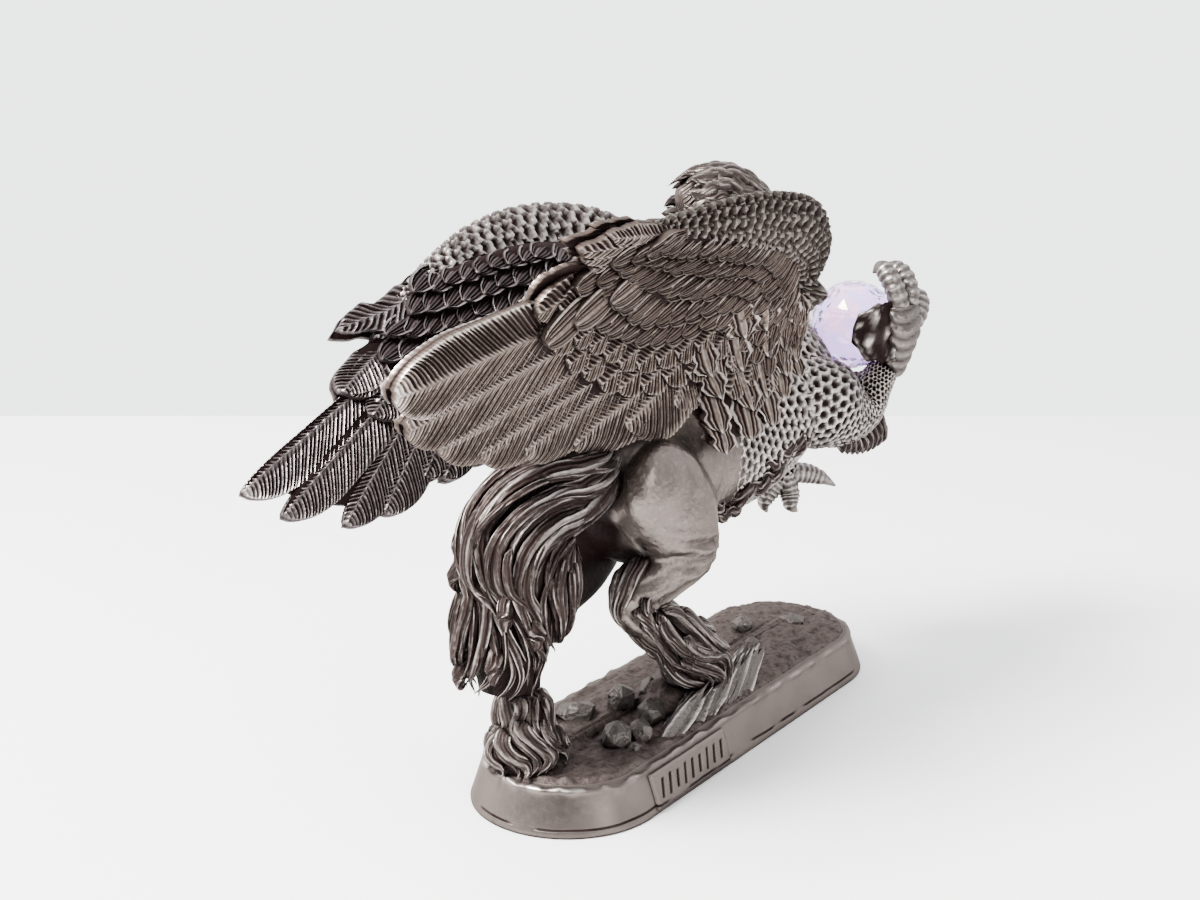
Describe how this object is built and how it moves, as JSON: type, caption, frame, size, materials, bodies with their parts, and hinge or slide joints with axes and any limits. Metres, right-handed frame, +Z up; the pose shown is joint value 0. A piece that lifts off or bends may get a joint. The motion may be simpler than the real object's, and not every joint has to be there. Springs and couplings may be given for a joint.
{
  "type": "hippogriff figurine",
  "caption": "Small cast pewter figurine of a rearing hippogriff on an oval plinth, wings swept back, holding a cut crystal ball in its raised claw.",
  "frame": {"origin": "centre of the plinth's underside", "axes": "+X the way the beast faces, along the plinth; +Y its left; +Z up"},
  "size_m": [0.0988, 0.0421, 0.0717],
  "materials": {
    "pewter": "antiqued cast pewter: grey metal, worn bright on the high places, blackened in the hollows",
    "crystal": "clear cut crystal with a pink and lilac iridescent coat"
  },
  "bodies": {
    "root": {"hippogriff_and_plinth": "pewter", "right_wing": "pewter", "left_wing": "pewter", "crystal_ball": "crystal"}
  },
  "joints": []
}
